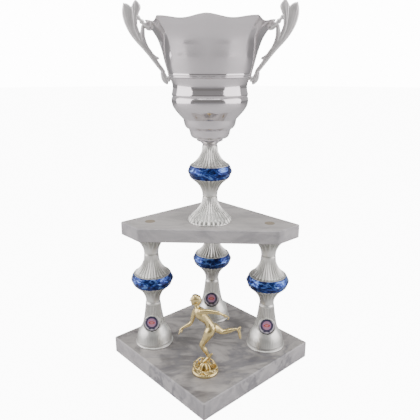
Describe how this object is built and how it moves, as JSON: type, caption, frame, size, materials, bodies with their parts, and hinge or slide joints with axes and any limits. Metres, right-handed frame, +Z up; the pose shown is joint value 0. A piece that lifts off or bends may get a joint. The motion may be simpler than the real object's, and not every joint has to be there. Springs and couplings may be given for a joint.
{
  "type": "cup trophy",
  "caption": "Free-standing cup trophy: stone base, columns and a smaller stone slab with a stem, a flared two-handled silver cup and a gilt runner in front.",
  "frame": {"origin": "centre of the base slab's underside", "axes": "+Z up; -Y towards the front corner of the base, where the figure stands; +X to the right seen from the front"},
  "size_m": [0.327, 0.327, 0.5662],
  "materials": {
    "marble": "honed grey marble with darker veins",
    "plated_plastic": "vacuum-plated silver plastic, fluted",
    "blue_ring": "marbled deep blue lacquer",
    "silver_plate": "bright silver-plated spun steel",
    "cast_handle": "satin plated casting",
    "gold_plastic": "gilt plated plastic",
    "badge": "printed disc under clear resin",
    "hole_cap": "tan plug",
    "zinc_steel": "bright zinc plate"
  },
  "bodies": {
    "root": {"base_slab": "marble", "upper_slab": "marble", "left_riser": "plated_plastic", "left_badge": "badge", "left_lower_goblet": "plated_plastic", "left_ring": "blue_ring", "left_cone": "plated_plastic", "left_upper_goblet": "plated_plastic", "left_rod": "zinc_steel", "left_hole_cap": "hole_cap", "right_riser": "plated_plastic", "right_badge": "badge", "right_lower_goblet": "plated_plastic", "right_ring": "blue_ring", "right_cone": "plated_plastic", "right_upper_goblet": "plated_plastic", "right_rod": "zinc_steel", "right_hole_cap": "hole_cap", "back_riser": "plated_plastic", "back_badge": "badge", "back_lower_goblet": "plated_plastic", "back_ring": "blue_ring", "back_cone": "plated_plastic", "back_upper_goblet": "plated_plastic", "back_rod": "zinc_steel", "back_hole_cap": "hole_cap", "column_washers_below": "zinc_steel", "column_nuts_below": "zinc_steel", "column_washers_above": "zinc_steel", "column_nuts_above": "zinc_steel", "stem_foot": "plated_plastic", "stem_goblet": "plated_plastic", "stem_ring": "blue_ring", "stem_cone": "plated_plastic", "stem_rod": "zinc_steel", "stem_washer_below": "zinc_steel", "stem_nut_below": "zinc_steel", "cup_washer": "zinc_steel", "cup_nut": "zinc_steel", "cup_collar": "silver_plate", "cup_bowl": "silver_plate", "left_handle": "cast_handle", "right_handle": "cast_handle", "left_handle_screws": "zinc_steel", "right_handle_screws": "zinc_steel", "runner_figure": "gold_plastic", "figure_stud": "zinc_steel", "figure_washer": "zinc_steel", "figure_nut": "zinc_steel"}
  },
  "joints": []
}
